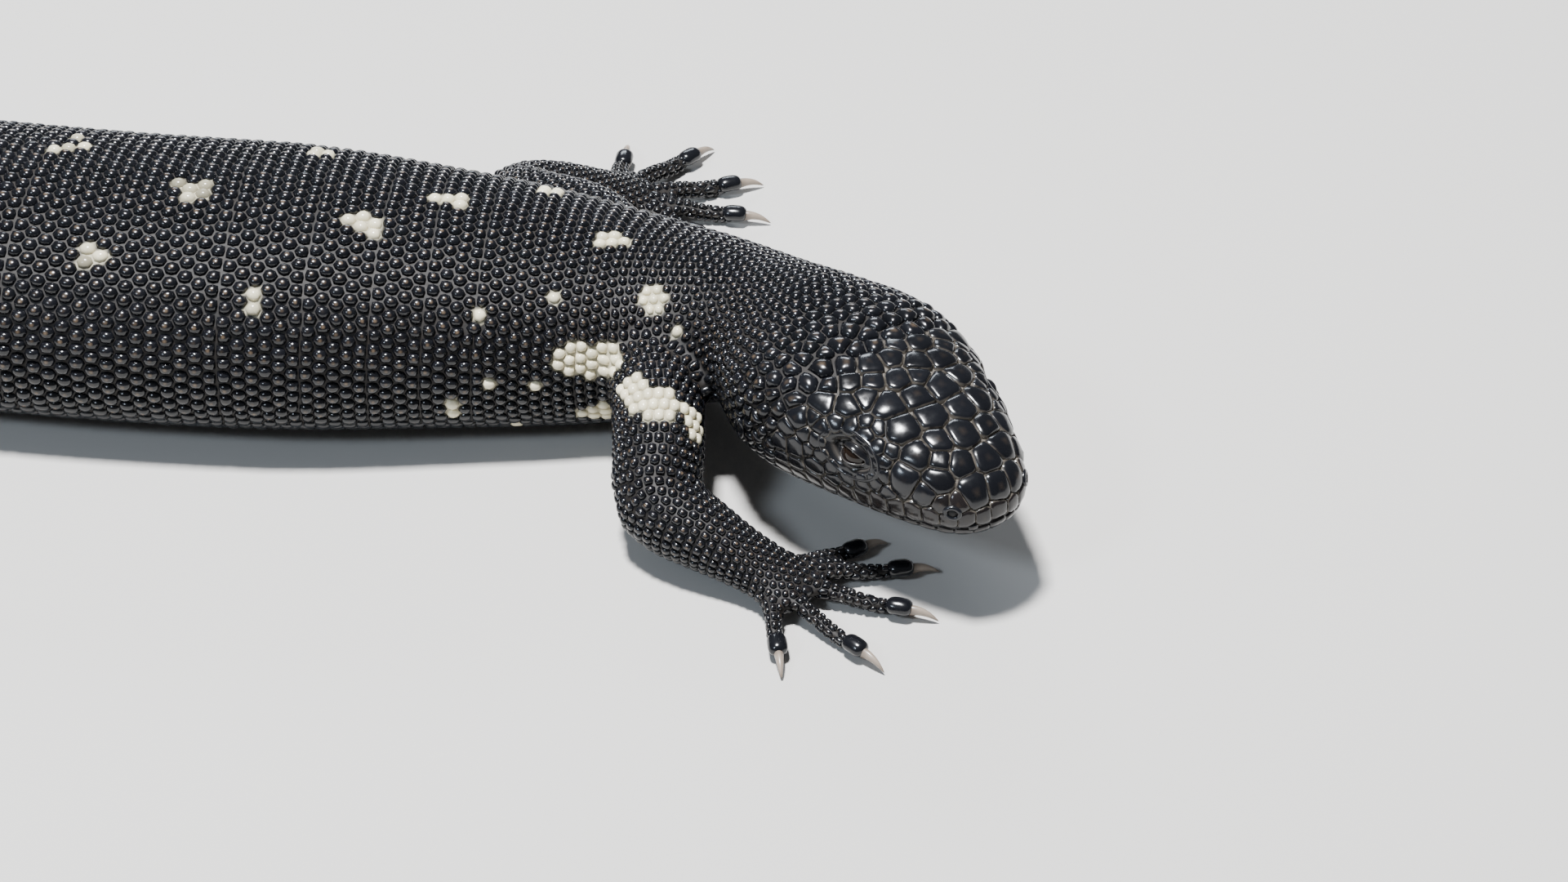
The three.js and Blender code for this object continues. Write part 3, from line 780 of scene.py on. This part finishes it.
def tinted(name, roughness, coat_weight, bump):
    """A material in its piece's own colours, with a fine uneven grain."""
    made, nodes, links, shader = material(name, {
        "Coat Weight": coat_weight, "Coat Roughness": 0.12, "Specular IOR Level": 0.42,
    })
    colour_by_tint(nodes, links, shader)
    where = nodes.new("ShaderNodeTexCoord")
    grain = nodes.new("ShaderNodeTexNoise")
    grain.inputs["Scale"].default_value = 900
    grain.inputs["Detail"].default_value = 4
    links.new(where.outputs["Object"], grain.inputs["Vector"])
    rough = nodes.new("ShaderNodeMapRange")
    rough.inputs["To Min"].default_value = roughness - 0.07
    rough.inputs["To Max"].default_value = roughness + 0.13
    links.new(grain.outputs["Fac"], rough.inputs["Value"])
    links.new(rough.outputs["Result"], shader.inputs["Roughness"])
    relief = nodes.new("ShaderNodeBump")
    relief.inputs["Strength"].default_value = bump
    relief.inputs["Distance"].default_value = 0.0002
    links.new(grain.outputs["Fac"], relief.inputs["Height"])
    links.new(relief.outputs["Normal"], shader.inputs["Normal"])
    return made


scale_material = tinted("scale", 0.18, 0.12, 0.06)
skin_material = tinted("skin between scales", 0.6, 0.0, 0.3)

count = len(kept)
stations, sides_of = nearest_station(places)
creamy = cream_share(places)
shade = RANDOM.uniform(0.75, 1.3, count)
scale_colours = BLACK[None, :] * shade[:, None]
brownish = np.isin(kinds, [LIP_SCALE, LOWER_LIP])
scale_colours[brownish] = (0.8 * BLACK + 0.2 * BROWN)[None, :] * shade[brownish][:, None]
# Marks dimmed as painted shade get a darker, uneven tone.
shade_dimmed_tone = RANDOM.uniform(0.3, 1.0, count)
full_tone = RANDOM.uniform(0.85, 1.08, count)
cream_colours = CREAM[None, :] * np.where(creamy < 0.9, shade_dimmed_tone, full_tone)[:, None]
scale_colours = np.where(creamy[:, None] > 0.5, cream_colours, scale_colours)

# The skin lies a scale's height under the surface, and has the colour of its grooves there.
depth = np.empty(len(outer))
groove = np.empty((len(outer), 3))
dust = RANDOM.uniform(0, 1, len(outer))
for i, place in enumerate(outer):
    found = [k for _, k, _ in tree.find_n(Vector(place), 4)]
    depth[i] = np.mean([heights[k] for k in found])
    k = found[0]
    under_lid = over_lids(place)
    # Skin sunk under the lids is painted black: painted shade in the eye socket.
    if kinds[k] == LID_SCALE or under_lid:
        groove[i] = BLACK
        depth[i] += 1.2 * under_lid
    elif creamy[k] > 0.5:
        groove[i] = CREAM * 0.5
    # By the mouth the grooves are painted black: painted shade in the slit between the lips.
    elif kinds[k] == LOWER_LIP or (kinds[k] == LIP_SCALE and place[2] < places[k][2] - 1.4):
        groove[i] = BLACK
    elif kinds[k] in (HEAD, LIP_SCALE):
        groove[i] = LINE * (0.25 + 0.5 * dust[i])
    else:
        groove[i] = BROWN * (0.08 + 0.25 * dust[i])
inner = outer - outer_normals * depth[:, None]
inner[:, 2] = np.maximum(inner[:, 2], SKIN_FLOOR)
skin.data.vertices.foreach_set("co", (inner * MM).ravel())
skin.data.update()


def paint(mesh, colours):
    layer = mesh.color_attributes.new("Tint", "FLOAT_COLOR", "POINT")
    opaque = np.column_stack([colours, np.ones(len(colours))])
    layer.data.foreach_set("color", opaque.ravel())


def unwrap(points, at_stations, at_sides):
    """A place on the sheet for each point: back along the body, and round it by side and height."""
    u = 0.02 + 0.96 * at_stations / TOTAL_LENGTH
    turn = np.arctan2(points[:, 2] - 17, at_sides)
    v = 0.02 + 0.96 * ((turn / (2 * math.pi)) % 1.0)
    return np.stack([u, v], 1)


def add_uv(mesh, per_vertex):
    layer = mesh.uv_layers.new(name="OFBake")
    loops = np.empty(len(mesh.loops), dtype=int)
    mesh.loops.foreach_get("vertex_index", loops)
    layer.data.foreach_set("uv", per_vertex[loops].ravel())


paint(skin.data, groove)
skin.data.materials.clear()
skin.data.materials.append(skin_material)
add_uv(skin.data, unwrap(inner, *nearest_station(inner)))

# The shape of a scale from its rim inwards: share of its radius, share of its height.
ROUND = [(1.0, -0.45), (0.94, 0.18), (0.74, 0.68), (0.38, 0.95)]
PLATE = [(1.0, -0.35), (0.985, 0.38), (0.90, 0.78), (0.66, 0.95), (0.33, 1.0)]
FLAT = [(1.0, -0.5), (0.93, 0.35), (0.66, 0.85)]
PATCH_RADIUS = 0.0015


def add_piece(name, mesh, colours, made_of):
    """A painted, smooth piece from a mesh."""
    paint(mesh, colours)
    mesh.polygons.foreach_set("use_smooth", np.ones(len(mesh.polygons), dtype=bool))
    mesh.materials.append(made_of)
    piece = bpy.data.objects.new(name, mesh)
    bpy.context.scene.collection.objects.link(piece)
    return piece


def mesh_piece(name, points, faces, colours, made_of, floor_gap=SCALE_FLOOR):
    mesh = bpy.data.meshes.new(name)
    mesh.from_pydata([tuple(p * MM) for p in inside(np.array(points), floor_gap)], [], faces)
    mesh.update()
    return add_piece(name, mesh, colours, made_of)


def straight_down(point, way):
    """Where a line against the normal meets the surface, which keeps a plate's own outline."""
    hit = surface.ray_cast(Vector(point + way * 4), Vector(-way), 8.5)[0]
    return (np.array(hit), way, 0.0) if hit else on_surface(point)


def dome_faces(rings, sides):
    """The triangles of one scale: rings of vertices, and one more at the top."""
    faces = []
    for r in range(rings - 1):
        for k in range(sides):
            n = (k + 1) % sides
            faces.append([r * sides + k, r * sides + n, (r + 1) * sides + n])
            faces.append([r * sides + k, (r + 1) * sides + n, (r + 1) * sides + k])
    last = (rings - 1) * sides
    for k in range(sides):
        faces.append([last + k, last + (k + 1) % sides, rings * sides])
    return np.array(faces)


def dome_colours(chosen, stride, sides, tip):
    """Rims darkened as painted shade in the grooves, thin pale lines round the head's plates, and
    dusty tips of brown.
    """
    colours = np.repeat(scale_colours[chosen][:, None, :], stride, 1)
    # The rim of each scale, where it dips into its groove, is darkened: painted shade.
    colours[:, :sides] *= 0.6
    dark = creamy[chosen] < 0.5
    plated = np.flatnonzero(np.isin(kinds[chosen], [HEAD, LIP_SCALE, LID_SCALE]) & dark)
    colours[plated, :sides] = LINE * RANDOM.uniform(0.35, 1.1, (len(plated), sides, 1))
    colours[plated, sides:2 * sides] = LINE * RANDOM.uniform(0.05, 0.75, (len(plated), sides, 1))
    colours[dark, -1] += TAN[None, :] * RANDOM.uniform(0.0, tip, dark.sum())[:, None]
    return colours.reshape(-1, 3)


def build_scales(name, chosen, sides, shape, gap, tip, straight=False):
    """One piece of scales: domes that stand on the surface and meet at their outlines."""
    chosen = np.flatnonzero(chosen)
    if not len(chosen):
        return
    theta, radius = outline(sides, chosen)
    radius = np.maximum(radius * (1 - gap) - 0.03, 0.15)
    stride = len(shape) * sides + 1
    verts = np.empty((len(chosen), stride, 3))
    patch = np.zeros((stride, 2))
    for r, (share, rise) in enumerate(shape):
        flat = (places[chosen][:, None, :]
                + aheads[chosen][:, None, :] * (radius * share * np.cos(theta))[:, :, None]
                + asides[chosen][:, None, :] * (radius * share * np.sin(theta))[:, :, None])
        around = np.stack([np.cos(theta), np.sin(theta)], 1)
        patch[r * sides:(r + 1) * sides] = around * share * PATCH_RADIUS
        for i, scale in enumerate(chosen):
            lift = (rise - 1) * heights[scale]
            for k in range(sides):
                point = flat[i, k]
                way = normals[scale]
                spot, up, off = straight_down(point, way) if straight else on_surface(point)
                if off > 1.2:
                    spot = point
                    up = way
                verts[i, r * sides + k] = spot + up * lift
    verts[:, -1] = places[chosen]
    starts = (np.arange(len(chosen)) * stride)[:, None, None]
    faces = (dome_faces(len(shape), sides)[None] + starts).reshape(-1, 3)
    mesh = bpy.data.meshes.new(name)
    mesh.vertices.add(len(chosen) * stride)
    mesh.vertices.foreach_set("co", (inside(verts, SCALE_FLOOR) * MM).ravel())
    mesh.loops.add(faces.size)
    mesh.loops.foreach_set("vertex_index", faces.ravel())
    mesh.polygons.add(len(faces))
    mesh.polygons.foreach_set("loop_start", np.arange(len(faces)) * 3)
    mesh.update()
    mesh.validate()
    coat.append(add_piece(name, mesh, dome_colours(chosen, stride, sides, tip), scale_material))
    spots = unwrap(places[chosen], stations[chosen], sides_of[chosen])
    add_uv(mesh, (spots[:, None, :] + patch[None]).reshape(-1, 2))


LENGTHWISE = [
    ("neck", 0, 96), ("shoulder", 96, 150), ("mid_trunk", 150, 215), ("rear_trunk", 215, 290),
    ("hip", 290, 370), ("tail", 370, 601),
]
coat = []
on_head = np.isin(kinds, [HEAD, LIP_SCALE, LID_SCALE, LOWER_LIP])
build_scales("head_scales", on_head, 18, PLATE, 0.008, 0.06, straight=True)
build_scales("nape_scales", kinds == NAPE, 14, ROUND, 0.02, 0.3)
for label, first, last in LENGTHWISE:
    span = (stations >= first) & (stations < last)
    build_scales(label + "_scales", (kinds == BEAD) & span, 8, ROUND, 0.03, 0.5)
    build_scales(label + "_belly_scales", (kinds == BELLY) & span, 8, FLAT, 0.04, 0.1)
build_scales("digit_scales", kinds == DIGIT, 8, FLAT, 0.03, 0.1)

EYE_RADIUS = 2.92
EYE_SUNK = 1.0
eye_material = material("eye", {
    "Base Color": (0.010, 0.006, 0.004, 1), "Roughness": 0.06, "Specular IOR Level": 0.35,
})[0]
claw_material, *claw_shading = material("claw", {"Roughness": 0.3})
colour_by_tint(*claw_shading)


def ball_piece(name, centre, radius, segments, rings):
    bpy.ops.mesh.primitive_uv_sphere_add(
        segments=segments, ring_count=rings, radius=radius * MM, location=tuple(centre * MM))
    ball = bpy.context.view_layer.objects.active
    ball.name = name
    bpy.ops.object.transform_apply(location=True, rotation=True, scale=True)
    bpy.ops.object.shade_smooth()
    return ball


pieces = {}
for eye in EYES:
    middle = eye.centre - eye.look * EYE_SUNK
    ball = ball_piece("eyeball_" + eye.label, middle, EYE_RADIUS, 40, 24)
    ball.data.materials.append(eye_material)
    pieces["eye_" + eye.label] = ball


def swept(name, line, wide, deep, sides, colours, made_of):
    """A closed tapering tube along a line, one colour a ring."""
    points = []
    for i, centre in enumerate(line):
        along = unit(line[min(i + 1, len(line) - 1)] - line[max(i - 1, 0)])
        across = unit(np.cross([0, 0, 1.0], along))
        up = np.cross(along, across)
        for k in range(sides):
            a = 2 * math.pi * k / sides
            points.append(centre + across * math.cos(a) * wide[i] + up * math.sin(a) * deep[i])
    faces = [list(range(sides))[::-1], [(len(line) - 1) * sides + k for k in range(sides)]]
    for i in range(len(line) - 1):
        for k in range(sides):
            n = (k + 1) % sides
            faces.append([i * sides + k, i * sides + n, (i + 1) * sides + n, (i + 1) * sides + k])
    tones = np.repeat(np.array(colours), sides, 0)
    return mesh_piece(name, points, faces, tones, made_of, CLAW_FLOOR)


def ring_round(name, centre, look, fore, above, wide, tall, thick, colour):
    """A soft rim round an opening."""
    rounds, sides = 40, 10
    points = []
    faces = []
    for i in range(rounds):
        a = 2 * math.pi * i / rounds
        m = (i + 1) % rounds
        radial = fore * math.cos(a) + above * math.sin(a)
        core = centre + fore * math.cos(a) * wide + above * math.sin(a) * tall
        for k in range(sides):
            b = 2 * math.pi * k / sides
            n = (k + 1) % sides
            points.append(core + radial * math.cos(b) * thick + look * math.sin(b) * thick)
            faces.append([i * sides + k, m * sides + k, m * sides + n, i * sides + n])
    coat.append(mesh_piece(name, points, faces, [colour] * len(points), scale_material))


# Along the lid: share of the way out from the opening, rise over the ball, tone.
LID = [
    (0.0, -0.6, 0.0), (0.0, 0.20, 0.04), (0.03, 0.42, 0.22), (0.10, 0.50, 0.02),
    (0.20, 0.34, 0.0), (0.27, 0.05, 0.02), (0.32, 0.0, 0.06), (0.38, 0.30, 0.20),
    (0.48, 0.52, 0.02), (0.62, 0.40, 0.0), (0.72, 0.05, 0.03), (0.77, 0.05, 0.10),
    (0.84, 0.24, 0.02), (0.93, 0.05, 0.0), (1.0, -0.6, 0.0),
]
LID_REACH = (7.3, 4.7)
LID_OPENING = (2.95, 1.2)


def lids(name, centre, look, fore, above):
    """The two folded lids, with an almond opening between them, running out into the skin."""
    rounds = 56
    right_handed = np.cross(fore, above) @ look > 0
    points = []
    colours = []
    for share, rise, tone in LID:
        for i in range(rounds):
            c = math.cos(2 * math.pi * i / rounds)
            s = math.sin(2 * math.pi * i / rounds)
            edge = (LID_REACH[0] * c, LID_REACH[1] * s)
            x = LID_OPENING[0] * c * (1 - share) + edge[0] * share
            slit = LID_OPENING[1] * s * abs(s) ** 0.5 * (1 - share)
            y = slit + edge[1] * share * abs(s) ** (0.4 * (1 - share))
            root = on_surface(centre + fore * edge[0] + above * edge[1] + look * 2.2)[0]
            blend = share * share * (3 - 2 * share)
            ball = math.sqrt(max(LID_OPENING[0] ** 2 - x * x - y * y, 0.6))
            z = ball * (1 - blend) + float((root - centre) @ look) * blend
            points.append(centre + fore * x + above * y + look * (z + rise))
            colours.append(BLACK + LINE * tone)
    faces = []
    for r in range(len(LID) - 1):
        for i in range(rounds):
            n = (i + 1) % rounds
            face = [r * rounds + i, (r + 1) * rounds + i, (r + 1) * rounds + n, r * rounds + n]
            faces.append(face if right_handed else face[::-1])
    coat.append(mesh_piece(name, points, faces, colours, scale_material))


def opening(name, s, out, rise, side, wide, tall, size):
    """A pit painted black as the shade in an opening, in a raised rim, at a station and a place out
    and up from the spine.
    """
    centre, _, left, up = spine_frame(s)
    spot, look, _ = on_surface(centre + left * side * out + up * rise + SHIFT)
    head_forward = spine_frame(EYE_STATION)[1]
    fore = unit(head_forward - look * (head_forward @ look))
    ring_round(name + "_rim", spot - look * 0.28, look, fore, np.cross(look, fore),
               wide, tall, 0.5, BLACK * 1.5)
    # The pit is a ball painted black: painted shade inside the opening.
    pit = ball_piece(name, spot - look * (size - 0.16), size, 20, 12)
    paint(pit.data, np.repeat(PIT[None], len(pit.data.vertices), 0))
    pit.data.materials.append(skin_material)
    coat.append(pit)


for eye in EYES:
    lids("lids_" + eye.label, eye.centre - eye.look * EYE_SUNK, eye.look, eye.ahead, eye.above)
    opening("nostril_" + eye.label, 4.6, 8.6, 2.6, eye.side, 1.4, 1.1, 1.2)
    opening("ear_" + eye.label, 51.5, 23.4, -2.5, eye.side, 0.9, 2.2, 1.0)

# Each claw and its hood: distance ahead of the digit's end, height over the floor.
CLAW_LINE = [(-1.8, 2.3), (0.3, 2.25), (2.0, 2.35), (3.8, 2.0), (5.2, 1.3), (6.2, 0.62)]
HOOD_LINE = [(-4.2, 2.55), (-2.6, 2.75), (-0.9, 2.75), (0.4, 2.6), (1.2, 2.5)]
CLAW_RINGS = 17
HOOD_RINGS = 13
along = np.linspace(0, 1, CLAW_RINGS)
claw_wide = 1.02 * (1 - along ** 1.5) ** 0.85 + 0.07
claw_deep = 1.25 * (1 - along ** 1.4) ** 0.9 + 0.07
fade = (np.clip((along - 0.2) / 0.3, 0, 1) * np.clip((1.25 - along) / 0.5, 0, 1))[:, None]
horn_colours = HORN_DARK * (1 - fade) + HORN_PALE * fade
swell = np.sqrt(np.maximum(1 - np.linspace(-1, 1, HOOD_RINGS) ** 4, 0.02))
hood_colours = np.repeat(BLACK[None] * 1.1, HOOD_RINGS, 0)


def line_past(end, out, keys, rings):
    """A curve that runs past the end of a digit through places ahead of it and over the floor."""
    return smooth_curve([at_height(end + out * ahead, high) for ahead, high in keys], rings - 1)[0]


hoods = []
for label, digit in digit_lines.items():
    out = unit((digit[-1] - digit[-4]) * np.array([1, 1, 0]))
    claw_line = line_past(digit[-1], out, CLAW_LINE, CLAW_RINGS)
    hood_line = line_past(digit[-1], out, HOOD_LINE, HOOD_RINGS)
    pieces["claw_" + label] = swept(
        "horn_" + label, claw_line, claw_wide, claw_deep, 14, horn_colours, claw_material)
    hoods.append(swept(
        "hood_" + label, hood_line, 1.95 * swell, 1.6 * swell, 16, hood_colours, scale_material))
coat.append(join_pieces(hoods, "claw_hoods"))

# What each piece stands for.
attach(skin, "root")
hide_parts(*FLESH)
for piece in coat:
    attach(piece, "root")
for name, piece in pieces.items():
    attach(piece, "root")
    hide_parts(name)

# The floor, the lights and the camera.
bpy.ops.mesh.primitive_plane_add(size=8, location=(0, 0, 0))
floor = bpy.context.view_layer.objects.active
floor.name = "floor"
floor.data.materials.append(material("floor", {
    "Base Color": (0.56, 0.545, 0.52, 1), "Roughness": 0.85,
})[0])


def area_light(name, place, aim, size, power, colour):
    data = bpy.data.lights.new(name, "AREA")
    data.shape = "RECTANGLE"
    data.size, data.size_y = size
    data.energy = power
    data.color = colour
    light = bpy.data.objects.new(name, data)
    bpy.context.scene.collection.objects.link(light)
    light.location = place
    light.rotation_euler = (Vector(aim) - Vector(place)).to_track_quat("-Z", "Y").to_euler()


# Place, place aimed at, size, power and colour; these are in metres.
HEAD_AIM = (0.20, -0.06, 0.03)
BODY_AIM = (0.1, -0.03, 0.03)
area_light("key light", (0.04, -0.06, 1.3), HEAD_AIM, (0.17, 0.17), 60, (0.97, 0.98, 1.0))
area_light("fill light", (-0.7, -0.9, 1.1), BODY_AIM, (0.32, 0.26), 10, (0.74, 0.86, 1.0))
area_light("rim light", (0.1, 1.3, 0.7), BODY_AIM, (0.7, 0.25), 8, (0.85, 0.92, 1.0))
world = bpy.data.worlds.new("studio")
bpy.context.scene.world = world
world.use_nodes = True
backdrop = world.node_tree.nodes["Background"]
backdrop.inputs["Color"].default_value = (0.74, 0.78, 0.85, 1)
backdrop.inputs["Strength"].default_value = 0.17

# The camera looks down along y, and the right eye stands at its own place in the picture.
ELEVATION = math.radians(38)
DISTANCE = 850.0
PICTURE = (1920, 1080)
FOCAL_PIXELS = 5500.0
EYE_PIXEL = (1046, 556)
SENSOR_WIDTH = 36
ahead_of = np.array([0, math.cos(ELEVATION), -math.sin(ELEVATION)])
up_of = np.array([0, math.sin(ELEVATION), math.cos(ELEVATION)])
camera_place = right_eye - ahead_of * DISTANCE
aside_by = (EYE_PIXEL[0] - PICTURE[0] / 2) / FOCAL_PIXELS * DISTANCE
above_by = (EYE_PIXEL[1] - PICTURE[1] / 2) / FOCAL_PIXELS * DISTANCE
camera_place = camera_place - np.array([1, 0, 0]) * aside_by + up_of * above_by
lens = bpy.data.cameras.new("camera")
lens.sensor_width = SENSOR_WIDTH
lens.lens = FOCAL_PIXELS / PICTURE[0] * SENSOR_WIDTH
lens.clip_start = 0.01
camera = bpy.data.objects.new("camera", lens)
bpy.context.scene.collection.objects.link(camera)
camera.location = camera_place * MM
camera.rotation_euler = (math.pi / 2 - ELEVATION, 0, 0)
bpy.context.scene.camera = camera
